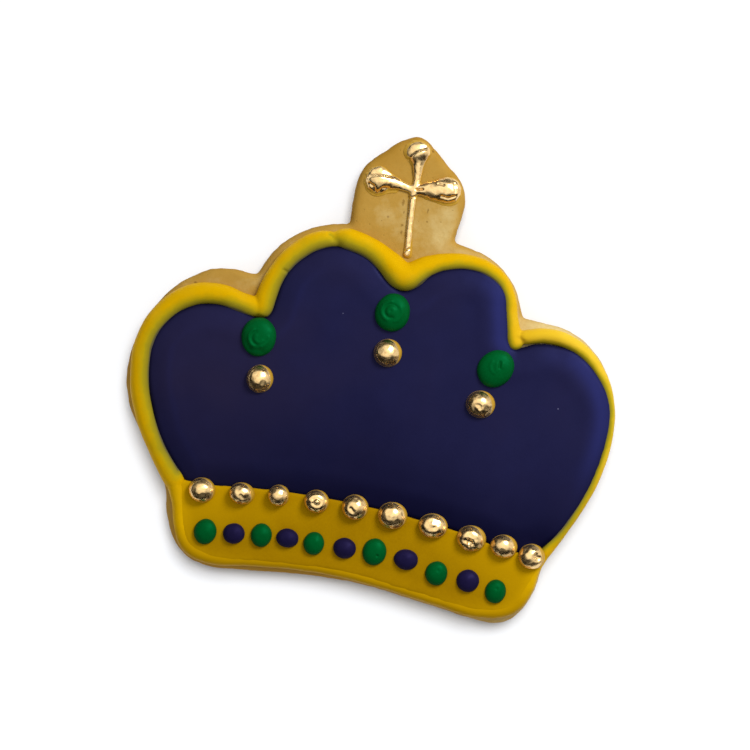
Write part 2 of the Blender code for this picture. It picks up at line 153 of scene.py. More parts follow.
LOBE_DROPS = {  # width, length, turn in degrees, shift across and up
    "left": (6.4, 7.2, 4, -0.12, 0.2),
    "middle": (6.4, 7.1, -12, -0.06, 0.1),
    "right": (6.4, 7.3, -36, -0.1, 0.0),
}
DOUGH_SPECKS = (  # place, half width, half length
    (-0.3, 30.3, 0.32, 0.75), (0.1, 28.6, 0.2, 0.3), (0.2, 26.2, 0.3, 0.32), (0.3, 24.9, 0.26, 0.4),
    (0.5, 31.6, 0.2, 0.25), (4.4, 29.6, 0.22, 0.5), (4.6, 27.6, 0.2, 0.2), (7.1, 28.0, 0.14, 0.14),
    (-3.6, 26.4, 0.14, 0.12), (8.9, 30.5, 0.16, 0.14),
)
FIRST_DROP = (-21.9, 1.3)  # middle of the left lobe's drop, which ties the crown's frame to the model's


def middle_of(node):
    """The middle of a CAD node, seen from above, in millimetres."""
    low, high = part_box(node)
    return (np.array(low) + np.array(high))[:2] / 2 / MM


AT_REST = middle_of("lobe_drop_left") - np.array(FIRST_DROP)


def laid(line):
    """A line from the crown's own frame, moved to where the crown lies."""
    return [(x + AT_REST[0], y + AT_REST[1]) for x, y in line]


# ---------------- shapes

def read_shape(mesh):
    """A mesh's corners as rows of millimetres."""
    rows = np.empty(len(mesh.vertices) * 3, np.float32)
    mesh.vertices.foreach_get("co", rows)
    return rows.reshape(-1, 3).astype(float) / MM


def write_shape(mesh, shape):
    mesh.vertices.foreach_set("co", (shape * MM).astype(np.float32).ravel())
    mesh.update()


def outward(mesh):
    """Which way the surface faces at each corner."""
    rows = np.empty(len(mesh.vertices) * 3, np.float32)
    mesh.vertex_normals.foreach_get("vector", rows)
    return rows.reshape(-1, 3).astype(float)


def keep_values(mesh, name, values):
    """Store a number from 0 to 1 at each corner, for a finish to read."""
    layer = mesh.attributes.new(name, "FLOAT", "POINT")
    layer.data.foreach_set("value", np.clip(values, 0, 1).astype(np.float32))


def ripple(shape, size, seed=0.0):
    """Smooth unevenness from -1 to 1, with features of a size in millimetres."""
    offset = Vector((seed * 7.31, seed * 3.17, seed * 5.73))
    return np.array([noise.noise(Vector(row) + offset) for row in shape / size])


def uneven(shape, *waves):
    """Unevenness made of waves, each with a height, a size in millimetres and a seed."""
    return sum(height * ripple(shape, size, seed) for height, size, seed in waves)


def hump(distance, width, middle=0.0):
    """1 at the middle, fading to nothing over a width on both sides."""
    return np.exp(-(((distance - middle) / width) ** 2))


def way_to(shape, line):
    """The way from each corner to the nearest place on a line, seen from above: its length and direction."""
    nearest = np.full(len(shape), np.inf)
    way = np.zeros((len(shape), 2))
    flat = shape[:, :2]
    line = np.array(line, float)[:, :2]
    for start, end in zip(line, line[1:]):
        along = end - start
        length = max(along @ along, 1e-12)
        share = np.clip((flat - start) @ along / length, 0, 1)
        gap = start + share[:, None] * along - flat
        far = np.hypot(gap[:, 0], gap[:, 1])
        nearer = far < nearest
        nearest[nearer] = far[nearer]
        way[nearer] = gap[nearer]
    return nearest, way / np.maximum(nearest, 1e-6)[:, None]


def how_far(shape, line):
    return way_to(shape, line)[0]


def moved_aside(line, step):
    """A line moved to its right by a step in millimetres."""
    flat = np.array(line, float)[:, :2]
    along = np.gradient(flat, axis=0)
    along /= np.maximum(np.hypot(along[:, 0], along[:, 1]), 1e-9)[:, None]
    return flat + np.column_stack((along[:, 1], -along[:, 0])) * step


def press(shape, facing, line, depth, width):
    """Push the upper surface in along a line. A negative depth raises it."""
    fade = hump(how_far(shape, line), width) * np.clip(facing[:, 2] + 0.2, 0, 1)
    return shape - facing * (depth * fade)[:, None]


def press_marks(mesh, shape, marks):
    """Press marks, each a line with a depth and a width, into a mesh one after another."""
    for line, depth, width in marks:
        shape = press(shape, outward(mesh), line, depth, width)
        write_shape(mesh, shape)
    return shape


def roughen(mesh, shape, *waves):
    """Make the surface uneven, each corner along the way it faces."""
    shape += outward(mesh) * uneven(shape, *waves)[:, None]
    write_shape(mesh, shape)
    return shape


def placed(name, data):
    """A new object in the scene."""
    thing = bpy.data.objects.new(name, data)
    bpy.context.scene.collection.objects.link(thing)
    return thing


def mesh_of(bm, name):
    """An edited mesh, closed and kept under a name."""
    mesh = bpy.data.meshes.new(name)
    bm.to_mesh(mesh)
    bm.free()
    return mesh


def as_mesh(source):
    """The finished mesh of an object, which is removed."""
    bpy.context.view_layer.update()
    evaluated = source.evaluated_get(bpy.context.evaluated_depsgraph_get())
    mesh = bpy.data.meshes.new_from_object(evaluated)
    mesh.transform(source.matrix_world)
    bpy.data.objects.remove(source)
    return mesh


def smooth_curve(points, steps, closed=False, creases=()):
    """A curve through the points, smooth except at the creases. A point's third number is its radius."""
    curve = bpy.data.curves.new("guide", "CURVE")
    curve.dimensions = "3D"
    curve.twist_mode = "Z_UP"
    curve.resolution_u = steps
    spline = curve.splines.new("BEZIER")
    spline.use_cyclic_u = closed
    spline.radius_interpolation = "CARDINAL"
    spline.bezier_points.add(len(points) - 1)
    for knot, point in zip(spline.bezier_points, points):
        knot.co = ((point[0] + AT_REST[0]) * MM, (point[1] + AT_REST[1]) * MM, 0.0)
        handle = "VECTOR" if tuple(point) in creases else "AUTO"
        knot.handle_left_type = handle
        knot.handle_right_type = handle
        knot.radius = point[2] if len(point) > 2 else 1.0
    return placed("guide", curve)


def traced(points, closed=False, creases=()):
    """Close points along a smooth curve, in the model's frame."""
    line = read_shape(as_mesh(smooth_curve(points, 8, closed, creases)))
    return np.vstack((line, line[:1])) if closed else line


def net(meshes, size, rubs):
    """The outer surface of some overlapping solids as one even net of small faces, rubbed smooth."""
    bm = bmesh.new()
    for mesh in meshes:
        bm.from_mesh(mesh)
    bmesh.ops.recalc_face_normals(bm, faces=bm.faces)
    lump = placed("lump", mesh_of(bm, "lump"))
    remesh = lump.modifiers.new("net", "REMESH")
    remesh.mode = "VOXEL"
    remesh.voxel_size = size * MM
    smooth = lump.modifiers.new("rub", "SMOOTH")
    smooth.factor = 0.5
    smooth.iterations = rubs
    return as_mesh(lump)


def finish(mesh, name, finish_name, node):
    """A piece that stands for a CAD node."""
    mesh.name = name
    mesh.materials.clear()
    mesh.materials.append(bpy.data.materials[finish_name])
    mesh.shade_smooth()
    piece = placed(name, mesh)
    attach(piece, "root")
    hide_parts(node)


def turned(profile, sides):
    """A closed solid, spun from a profile of (radius, height) that starts and ends on the axis."""
    bm = bmesh.new()
    corners = [bm.verts.new((radius, 0, height)) for radius, height in profile]
    edges = [bm.edges.new(pair) for pair in zip(corners, corners[1:])]
    bmesh.ops.spin(
        bm, geom=corners + edges, cent=(0, 0, 0), axis=(0, 0, 1), dvec=(0, 0, 0), angle=2 * math.pi,
        steps=sides, use_merge=True,
    )
    bmesh.ops.remove_doubles(bm, verts=bm.verts, dist=1e-5)
    bmesh.ops.recalc_face_normals(bm, faces=bm.faces)
    return mesh_of(bm, "turned")


# ---------------- finishes

def feed(tree, value, socket):
    """Give a socket a plain value or another node's result."""
    if isinstance(value, bpy.types.NodeSocket):
        tree.links.new(value, socket)
    else:
        socket.default_value = (*value, 1.0) if socket.type == "RGBA" else value


def add_node(tree, kind, inputs, **settings):
    """A new node's results. Its inputs are given by name or number."""
    node = tree.nodes.new(f"ShaderNode{kind}")
    for setting, value in settings.items():
        setattr(node, setting, value)
    for name, value in inputs.items():
        feed(tree, value, node.inputs[name])
    return node.outputs


def new_finish(name, roughness, metallic=0.0, specular=0.5):
    material = bpy.data.materials.new(name)
    material.use_nodes = True
    tree = material.node_tree
    shader = tree.nodes["Principled BSDF"].inputs
    shader["Roughness"].default_value = roughness
    shader["Metallic"].default_value = metallic
    shader["Specular IOR Level"].default_value = specular
    return tree, shader, add_node(tree, "TexCoord", {})["Object"]


def grain(tree, place, size, detail=2.0, coarse=0.5):
    """Noise with features of a size in millimetres."""
    inputs = {"Vector": place, "Scale": 1 / (size * MM), "Detail": detail, "Roughness": coarse}
    return add_node(tree, "TexNoise", inputs)["Fac"]


def stretch(tree, value, low, high, new_low=0.0, new_high=1.0):
    inputs = {"Value": value, "From Min": low, "From Max": high, "To Min": new_low, "To Max": new_high}
    return add_node(tree, "MapRange", inputs)["Result"]


def combine(tree, first, second, operation="MULTIPLY"):
    return add_node(tree, "Math", {0: first, 1: second}, operation=operation, use_clamp=True)["Value"]


def tint(tree, share, base, other):
    """A colour between two, which are colours or other nodes' results."""
    return add_node(tree, "Mix", {"Factor": share, 6: base, 7: other}, data_type="RGBA")[2]


def stored(tree, name):
    return add_node(tree, "Attribute", {}, attribute_name=name)["Fac"]


def relief(tree, shader, heights):
    """Bump from one or more (height, depth in millimetres, strength)."""
    below = {}
    for height, depth, strength in heights:
        inputs = {"Distance": depth * MM, "Strength": strength, "Height": height, **below}
        below = {"Normal": add_node(tree, "Bump", inputs)["Normal"]}
    feed(tree, below["Normal"], shader["Normal"])


def spots(tree, place, spacing, radius, seed):
    """Scattered dots: 1 inside a dot and 0 outside, for sparse pores, specks and crumbs."""
    shift = (seed * 0.013, seed * 0.007, seed * 0.003)
    moved = add_node(tree, "Mapping", {"Vector": place, "Location": shift})["Vector"]
    dots = add_node(tree, "TexVoronoi", {"Vector": moved, "Scale": 1 / (spacing * MM)})
    return stretch(tree, dots["Distance"], radius / spacing, 0.4 * radius / spacing), dots["Color"]


def speck(tree, place, x, y, wide, tall):
    """One ragged speck at a place in the crown's frame: 1 in its middle and 0 outside."""
    middle = ((x + AT_REST[0]) * MM, (y + AT_REST[1]) * MM, DOUGH_TOP * MM)
    inputs = {"Vector": place, "Location": middle, "Scale": (wide * MM, tall * MM, MM)}
    moved = add_node(tree, "Mapping", inputs, vector_type="TEXTURE")["Vector"]
    length = add_node(tree, "VectorMath", {0: moved}, operation="LENGTH")["Value"]
    tatter = stretch(tree, grain(tree, place, 0.3, 2.0), 0.3, 0.7, -0.15, 0.15)
    return stretch(tree, combine(tree, stretch(tree, length, 0.0, 2.0), tatter, "ADD"), 0.5, 0.2)


def few(tree, dots, share):
    """Keep only a share of the dots, picked by each one's own random colour."""
    dot, colour = dots
    pick = add_node(tree, "SeparateColor", {"Color": colour})["Red"]
    return combine(tree, dot, stretch(tree, pick, share + 0.01, share - 0.01))


FLECK = (0.12, 0.12, 0.2)
GOLD, WORN_GOLD, BARE_ICING = (0.95, 0.67, 0.31), (0.82, 0.52, 0.21), (0.46, 0.255, 0.012)
BARE_ROUGHNESS = 0.5
PALE_DOUGH, TAN_DOUGH, BROWN_DOUGH = (0.65, 0.52, 0.24), (0.42, 0.243, 0.046), (0.35, 0.182, 0.021)
CRUMB_FLECK, DOUGH_SPECK = (0.13, 0.055, 0.01), (0.17, 0.085, 0.012)


def icing_finish(name, colour, deeper, roughness, specular, sheen, layers=(), flecks=0.0):
    """Dried royal icing: even, faintly mottled, with a fine matt grain and a few burst bubbles.

    The sheen is the colour of its gloss. A layer is the name of a stored value, the span of it that brings
    the layer in, and the layer's colour.
    """
    tree, shader, place = new_finish(name, roughness, specular=specular)
    feed(tree, sheen, shader["Specular Tint"])
    mottle = combine(
        tree, stretch(tree, grain(tree, place, 5.0, 3.0), 0.35, 0.7, 0.0, 0.55),
        stretch(tree, grain(tree, place, 0.35, 2.0), 0.3, 0.7, 0.0, 0.6), "ADD",
    )
    result = tint(tree, mottle, colour, deeper)
    for value, low, high, layer in layers:
        result = tint(tree, stretch(tree, stored(tree, value), low, high), result, layer)
    if flecks:
        pale = few(tree, spots(tree, place, 2.6, 0.16, 3), flecks)
        result = tint(tree, pale, result, FLECK)
    feed(tree, result, shader["Base Color"])
    rough = stretch(tree, grain(tree, place, 2.5, 2.0), 0.3, 0.7, roughness - 0.06, roughness + 0.08)
    feed(tree, rough, shader["Roughness"])
    bubbles = few(tree, spots(tree, place, 1.6, 0.14, 5), 0.25)
    relief(tree, shader, (
        (grain(tree, place, 1.1, 3.0), 0.05, 0.35), (grain(tree, place, 0.16, 2.0), 0.012, 0.5),
        (combine(tree, 1.0, bubbles, "SUBTRACT"), 0.05, 0.5),
    ))


def gold_finish():
    """Gold paint over yellow icing. Where the paint ends, the icing shows."""
    tree, shader, place = new_finish("gold_paint_on_icing", 0.2)
    paint = stored(tree, "paint")
    worn = tint(tree, stretch(tree, grain(tree, place, 0.5, 3.0), 0.4, 0.75), GOLD, WORN_GOLD)
    feed(tree, tint(tree, paint, BARE_ICING, worn), shader["Base Color"])
    feed(tree, paint, shader["Metallic"])
    satin = stretch(tree, grain(tree, place, 0.8, 3.0), 0.3, 0.7, 0.2, 0.34)
    rough = add_node(tree, "Mix", {"Factor": paint, 2: BARE_ROUGHNESS, 3: satin})[0]
    feed(tree, rough, shader["Roughness"])
    relief(tree, shader, (
        (grain(tree, place, 0.7, 3.0), 0.08, 0.4), (grain(tree, place, 0.22, 2.0), 0.02, 0.35),
    ))


def dough_finish():
    """Baked butter dough: tan, mottled, browner at its edges and underneath, with pores and brown flecks."""
    tree, shader, place = new_finish("baked_butter_dough", 0.75, specular=0.04)
    mottle = stretch(tree, grain(tree, place, 5.0, 4.0, 0.6), 0.32, 0.68, -0.12, 0.12)
    browning = combine(tree, stored(tree, "browning"), mottle, "ADD")
    colour = tint(tree, stretch(tree, browning, 0.0, 0.5), PALE_DOUGH, TAN_DOUGH)
    colour = tint(tree, stretch(tree, browning, 0.5, 1.0), colour, BROWN_DOUGH)
    crumb = stretch(tree, grain(tree, place, 0.7, 3.0, 0.6), 0.5, 0.78)
    colour = tint(tree, combine(tree, crumb, 0.3), colour, BROWN_DOUGH)
    flecks = few(tree, spots(tree, place, 3.2, 0.34, 1), 0.3)
    colour = tint(tree, combine(tree, flecks, 0.6), colour, CRUMB_FLECK)
    for place_and_size in DOUGH_SPECKS:
        colour = tint(tree, combine(tree, speck(tree, place, *place_and_size), 0.6), colour, DOUGH_SPECK)
    feed(tree, colour, shader["Base Color"])
    pores = few(tree, spots(tree, place, 1.1, 0.17, 2), 0.5)
    relief(tree, shader, (
        (grain(tree, place, 2.2, 4.0, 0.6), 0.16, 0.5), (grain(tree, place, 0.35, 3.0, 0.6), 0.05, 0.6),
        (combine(tree, 1.0, pores, "SUBTRACT"), 0.12, 0.6),
    ))


def make_finishes():
    dough_finish()
    icing_finish(
        "violet_royal_icing", (0.0103, 0.0102, 0.041), (0.009, 0.0086, 0.0365), 0.47, 0.13, (0.3, 0.33, 1.0),
        layers=(
            # The pale layer is a painted sheen along the edges that face the light; the dusty layer is a
            # greyer tint of the icing.
            ("dusty", 0.0, 1.0, (0.0155, 0.0122, 0.036)), ("pale", 0.0, 1.0, (0.018, 0.021, 0.11)),
            # The darkest layer is painted shade, above the seam and in a thin line at the edge.
            ("deep", 0.0, 1.0, (0.0018, 0.0015, 0.0125)),
        ), flecks=0.12,
    )
    icing_finish(
        "yellow_piped_icing", (0.62, 0.358, 0.0005), (0.58, 0.325, 0.0005), 0.5, 0.09, (1.0, 0.75, 0.03),
        layers=(
            # The pale layer is a painted highlight on the right, and the dull layer is painted shade along
            # the band's foot.
            ("pale", 0.0, 1.0, (0.7, 0.47, 0.03)), ("dull", 0.0, 1.0, (0.42, 0.228, 0.0005)),
            # The bleed layers are the violet's dye together with painted shade on the lines' inner sides,
            # darkest at the violet's edge.
            ("bleed", 0.1, 0.6, (0.4, 0.3, 0.006)), ("bleed", 0.5, 0.92, (0.22, 0.185, 0.017)),
            ("bleed", 0.86, 1.0, (0.08, 0.07, 0.05)),
        ),
    )
    icing_finish(
        "yellow_flooded_icing", (0.355, 0.19, 0.0005), (0.315, 0.164, 0.0005), 0.5, 0.15, (1.0, 0.75, 0.03),
        # The raised layer is painted light: lighter where the band takes more light, darker towards its foot.
        layers=(("raised", 0.0, 1.0, (0.56, 0.315, 0.0005)),),
    )
    icing_finish("green_royal_icing", (0.0, 0.08, 0.0145), (0.0, 0.064, 0.01), 0.46, 0.17, (0.02, 1.0, 0.4))
    icing_finish(
        "violet_drop_icing", (0.009, 0.0066, 0.036), (0.0075, 0.0056, 0.03), 0.5, 0.15, (0.4, 0.33, 1.0),
    )
    gold_finish()


# ---------------- pieces

SOLE_HEIGHT = 1.2  # the dough is more and more even below this height
SOLE_FLAT = 0.25  # what is lower than this lies flat on the table

# How brown the dough baked: by place along the crown, by place up it, and at its left end
BROWN_ACROSS = ((-42.0, -14.0, -8.0, 3.0, 13.0, 30.0), (0.42, 0.38, 0.5, 0.44, 0.24, 0.0))
BROWN_UP = ((-38.5, -34.0, 30.0, 38.0), (0.12, 0.0, 0.0, 0.25))
BROWN_LEFT = ((-45.0, -39.0), (0.1, 0.0))
BROWN_RIMS = ((0.12, 0.9), (0.1, 2.6))  # share and width
BROWN_SIDES = 0.1
SOLE_BROWN, SOLE_RIM_BROWN, SOLE_RIM = 0.75, 0.4, 4.0


def bake_dough():
    """The dough's own solid, with its edges rubbed soft, a slightly uneven face and a browned rim."""
    bm = bmesh.new()
    bm.from_mesh(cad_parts["dough"].data)
    bmesh.ops.remove_doubles(bm, verts=bm.verts, dist=SAME_PLACE)
    mesh = net([mesh_of(bm, "dough_copy")], DOUGH_NET, DOUGH_RUBS)
    shape, facing = read_shape(mesh), outward(mesh)
    upright = 1 - np.abs(facing[:, 2])
    swell = uneven(shape, (0.12, 9.0, 1), (0.07, 3.2, 2), (0.035, 1.2, 3))
    swell += upright * (uneven(shape * (1, 1, 0.35), (0.08, 1.6, 4)) + uneven(shape, (0.05, 0.8, 5)))
    under = np.clip(SOLE_HEIGHT - shape[:, 2], 0, 1)
    shape += facing * (swell * (1 - under))[:, None]
    shape[shape[:, 2] < SOLE_FLAT, 2] = 0.0
    write_shape(mesh, shape)
    rim = how_far(shape, outline_of(mesh))
    browned = np.interp(shape[:, 0], *BROWN_ACROSS)
    browned += np.interp(shape[:, 1], *BROWN_UP)
    browned += np.interp(shape[:, 0], *BROWN_LEFT)
    browned += sum(share * hump(rim, width) for share, width in BROWN_RIMS) + BROWN_SIDES * upright
    sole = SOLE_BROWN + SOLE_RIM_BROWN * np.exp(-rim / SOLE_RIM) + uneven(shape, (0.3, 5.0, 6))
    browned = np.where(facing[:, 2] < -0.4, sole, browned)
    keep_values(mesh, "browning", browned + uneven(shape, (0.08, 2.4, 7), (0.1, 7.0, 8)))
    finish(mesh, "dough_baked", "baked_butter_dough", "dough")


def outline_of(mesh):
    """The outline of the dough, cut at mid height and put in order."""
    bm = bmesh.new()
    bm.from_mesh(mesh)
    cut = bmesh.ops.bisect_plane(
        bm, geom=bm.verts[:] + bm.edges[:] + bm.faces[:], dist=1e-7, plane_co=(0, 0, DOUGH_TOP / 2 * MM),
        plane_no=(0, 0, 1), clear_inner=True, clear_outer=True,
    )["geom_cut"]
    corner = next(part for part in cut if isinstance(part, bmesh.types.BMVert))
    line, seen = [tuple(corner.co / MM)], {corner}
    while True:
        onward = [edge.other_vert(corner) for edge in corner.link_edges]
        onward = [other for other in onward if other not in seen]
        if not onward:
            break
        corner = onward[0]
        seen.add(corner)
        line.append(tuple(corner.co / MM))
    bm.free()
    return line[::3] + line[:1]


def line_section(rise, cap=90.0, step=0.0):
    """Cross-section of a piped line of unit half width: a round cap on a step, upright in the dough."""
    curve = bpy.data.curves.new("section", "CURVE")
    curve.dimensions = "2D"
    spline = curve.splines.new("POLY")
    spline.use_cyclic_u = True
    full = math.radians(cap)
    turns = [full - 2 * full * i / CAP_SIDES for i in range(CAP_SIDES + 1)]
    low = math.cos(full)
    outline = [(math.sin(t) / math.sin(full), step + rise * (math.cos(t) - low) / (1 - low)) for t in turns]
    outline += [(-LINE_FLANK, -LINE_ROOT), (LINE_FLANK, -LINE_ROOT)]
    spline.points.add(len(outline) - 1)
    for point, (x, y) in zip(spline.points, outline):
        point.co = (x * MM, y * MM, 0, 1)
    return placed("section", curve)


def with_round_ends(points):
    """A line's points, with narrower ones added past both ends so that it ends round."""
    caps = []
    for end, inner in ((points[0], points[1]), (points[-1], points[-2])):
        past = Vector((end[0] - inner[0], end[1] - inner[1])).normalized() * end[2]
        caps.append([
            (end[0] + past.x * far, end[1] + past.y * far, end[2] * share) for far, share in END_ROUNDING
        ])
    return [*caps[0], *points, *caps[1][::-1]]


def lapped(points, lap):
    """A line made wider on the side of the flood only: its middle moves as much as its half width grows."""
    moved = []
    for i, (x, y, half_width) in enumerate(points):
        before, after = points[max(i - 1, 0)], points[min(i + 1, len(points) - 1)]
        along = Vector((after[0] - before[0], after[1] - before[1])).normalized()
        moved.append((x + along.y * lap / 2, y - along.x * lap / 2, half_width + abs(lap) / 2))
    return moved


def piped(points, rise, floor=LINE_FLOOR, **form):
    """The mesh of a line of icing squeezed out along the points."""
    line = smooth_curve(with_round_ends(points), 10)
    section = line_section(rise, **form)
    line.data.bevel_mode = "OBJECT"
    line.data.bevel_object = section
    line.data.use_fill_caps = True
    line.location.z = floor * MM
    mesh = as_mesh(line)
    bpy.data.objects.remove(section)
    return mesh


def seam_points(gap):
    """The seam between the violet icing and the band, from right to left."""
    crest, middle, camber = SEAM
    right, left = SEAM_ENDS
    places = [right + (left - right) * i / (SEAM_POINTS - 1) for i in range(SEAM_POINTS)]
    along = [(x, crest - camber * (x - middle) ** 2) for x in places]
    return [(x, y - gap) for x, y in (SEAM_CORNERS[0], *along, SEAM_CORNERS[1])]


def flooded(outline, creases, size, top):
    """A flat pool of icing as an even net, with each corner's height as a share of the pool's depth."""
    mesh = as_mesh(smooth_curve(outline, 8, True, creases))
    bm = bmesh.new()
    bm.from_mesh(mesh)
    bmesh.ops.remove_doubles(bm, verts=bm.verts, dist=SAME_PLACE)
    bmesh.ops.translate(bm, verts=bm.verts, vec=(0, 0, ICING_FOOT * MM))
    floor = bmesh.ops.contextual_create(bm, geom=bm.edges[:])["faces"]
    raised = bmesh.ops.extrude_face_region(bm, geom=floor, use_keep_orig=True)["geom"]
    corners = [part for part in raised if isinstance(part, bmesh.types.BMVert)]
    bmesh.ops.translate(bm, verts=corners, vec=(0, 0, (top - ICING_FOOT) * MM))
    bm.to_mesh(mesh)
    bm.free()
    mesh = net([mesh], size, POOL_RUBS)
    shape = read_shape(mesh)
    share = np.clip((shape[:, 2] - ICING_FOOT) / (top - ICING_FOOT), 0, 1)
    return mesh, shape, share


# The violet pool's edge: a sharp lip, a roll behind it that is less deep on the side that faces the light, a
# swell inside it
LIP_DEPTH, LIP_WIDTH = 0.2, 0.3
ROLL_DEPTH, ROLL_EASED, ROLL_WIDTH = 0.5, 0.25, 1.9
SWELL_HEIGHT, SWELL_WIDTH, SWELL_PLACE = 0.12, 1.5, 4.2

# Painted sheen on the violet: paler along the edges that face the light, by place along the crown and up it
LIT_SIDE = (0.94, 0.34)
SHEEN_ACROSS, SHEEN_UP = ((0.0, 20.0), (0.1, 1.0)), ((-18.0, -6.0), (0.05, 0.8))
SHEEN_PLACE, SHEEN_WIDTH = 1.1, 1.6
RIDGE_HIGHLIGHT_SHARE, RIDGE_HIGHLIGHT_WIDTH, RIDGE_HIGHLIGHT_PLACE = 0.12, 0.6, 3.7  # a painted highlight along a faint ridge by the opposite edges

# Painted shade on the violet: darker above the seam, by place along the crown, and in a thin dark line at the
# edge
SHADE_ACROSS, SHADE_REACH = ((-30.0, -8.0, 25.0), (0.52, 0.78, 1.12)), ((0.0, 25.0), (15.0, 8.3))
SHADE_FALL = 1.6
SHADE_EASED, SHADE_EASED_WIDTH = 0.5, 4.0
RIM_SHADE, RIM_SHADE_WIDTH = 0.6, 0.35

DUSTY_SPOT = (-26.0, -6.0)
DUSTY_SHARE, DUSTY_WIDTH = 0.9, 16.0


def flood_violet():
    """The violet icing: rolled down at its edge, highest just inside it, and a little sunk in the middle."""
    seam = seam_points(0.0)
    outline, creases = (*VIOLET_EDGE, *seam), (seam[0], seam[-1])
    mesh, shape, share = flooded(outline, creases, VIOLET_NET, VIOLET_TOP)
    across, up = shape[:, 0], shape[:, 1]
    rim = how_far(shape, traced(outline, True, creases)) - VIOLET_LAP
    edge, way = way_to(shape, traced((*VIOLET_EDGE, seam[0])))
    edge -= VIOLET_LAP
    facing_lit_side = way @ LIT_SIDE
    left = np.clip(-facing_lit_side, 0, 1)
    right = np.clip(facing_lit_side, 0, 1) ** 1.5
    top = VIOLET_TOP - LIP_DEPTH * np.exp(-rim / LIP_WIDTH)
    top -= (ROLL_DEPTH - ROLL_EASED * right) * hump(rim, ROLL_WIDTH)
    top += SWELL_HEIGHT * hump(rim, SWELL_WIDTH, SWELL_PLACE)
    top += uneven(shape, (0.1, 16.0, 8), (0.03, 5.0, 9))
    shape[:, 2] = ICING_FOOT + share * (top - ICING_FOOT)
    write_shape(mesh, shape)
    # painted sheen: paler along the edges that face the light, with a painted highlight along a faint ridge
    # by the opposite edges
    side = np.interp(across, *SHEEN_ACROSS)
    strip = hump(edge, SHEEN_WIDTH, SHEEN_PLACE * (1 + uneven(shape, (0.3, 6.0, 40))))
    pale = np.interp(up, *SHEEN_UP) * side * right * strip
    pale += RIDGE_HIGHLIGHT_SHARE * left * hump(edge, RIDGE_HIGHLIGHT_WIDTH, RIDGE_HIGHLIGHT_PLACE)
    keep_values(mesh, "pale", pale + uneven(shape, (0.05, 4.0, 41)))
    # painted shade: darker above the seam and in a thin line along the edge next to the border
    above_seam = how_far(shape, seam) / np.interp(across, *SHADE_REACH)
    deep = np.interp(across, *SHADE_ACROSS) * np.exp(-(above_seam ** SHADE_FALL))
    deep *= 1 - SHADE_EASED * right * hump(edge, SHADE_EASED_WIDTH)
    deep += RIM_SHADE * np.exp(-np.maximum(edge, 0) / RIM_SHADE_WIDTH) * (1 - right * side)
    keep_values(mesh, "deep", deep + uneven(shape, (0.08, 9.0, 42)))
    dusty = DUSTY_SHARE * hump(np.hypot(across - DUSTY_SPOT[0], up - DUSTY_SPOT[1]), DUSTY_WIDTH)
    keep_values(mesh, "dusty", dusty + uneven(shape, (0.3, 7.0, 43)))
    finish(mesh, "violet_icing_flooded", "violet_royal_icing", "violet_icing")


# The band's pool: it banks up against the line round it, with a shallow dip inside
BANK_HEIGHT, BANK_WIDTH = 0.08, 1.4
DIP_DEPTH, DIP_WIDTH, DIP_PLACE = 0.05, 0.8, 2.4

# Painted light on the band's yellow: lighter at the line round it, towards its top and at both ends, darker
# towards its foot
PAINTED_LIGHT_RIM, PAINTED_LIGHT_RIM_WIDTH = 0.3, 1.2
PAINTED_LIGHT_UP = ((-38.0, -29.0), (-0.35, 0.1))
PAINTED_LIGHT_ACROSS = ((-32.0, -20.0, 0.0, 14.0, 36.0), (0.7, 0.3, -0.1, 0.0, 0.8))


def flood_band():
    """The band's yellow icing, a little lower than the line piped round it."""
    seam = seam_points(-SEAM_LAP)
    outline, creases = (*seam[::-1], *BAND_EDGE), (seam[0], seam[-1])
    mesh, shape, share = flooded(outline, creases, BAND_NET, BAND_TOP)
    rim = how_far(shape, traced(BAND_LINE))
    top = BAND_TOP + BANK_HEIGHT * hump(rim, BANK_WIDTH) - DIP_DEPTH * hump(rim, DIP_WIDTH, DIP_PLACE)
    top += uneven(shape, (0.05, 9.0, 10), (0.02, 3.0, 11))
    shape[:, 2] = ICING_FOOT + share * (top - ICING_FOOT)
    write_shape(mesh, shape)
    # painted light: lighter at the line round the band, towards its top and at its ends, darker towards its
    # foot
    light = PAINTED_LIGHT_RIM * hump(rim, PAINTED_LIGHT_RIM_WIDTH)
    light += np.interp(shape[:, 1], *PAINTED_LIGHT_UP) + np.interp(shape[:, 0], *PAINTED_LIGHT_ACROSS)
    keep_values(mesh, "raised", light + uneven(shape, (0.08, 4.0, 44)))
    finish(mesh, "band_icing_flooded", "yellow_flooded_icing", "band_icing")


# How far the violet bled into the lines, with painted shade on their inner sides, by place along the crown
BLEED_AND_SHADE_REACH = ((-24.0, -16.0, -4.0, 5.0, 15.0, 25.0, 33.0), (2.6, 3.4, 3.2, 2.2, 1.9, 1.4, 1.5))
MARK_BLEED_AND_SHADE = 0.6  # violet drawn into the first two marks, with painted shade in their creases

# Painted shade on the line along the band's foot, and a painted highlight on the right, above the band
FOOT_SHADE_UP = ((-38.0, -35.0), (0.85, 0.0))
LINE_HIGHLIGHT_ACROSS, LINE_HIGHLIGHT_UP = ((18.0, 34.0), (0.0, 0.8)), ((-22.0, -8.0), (0.0, 1.0))


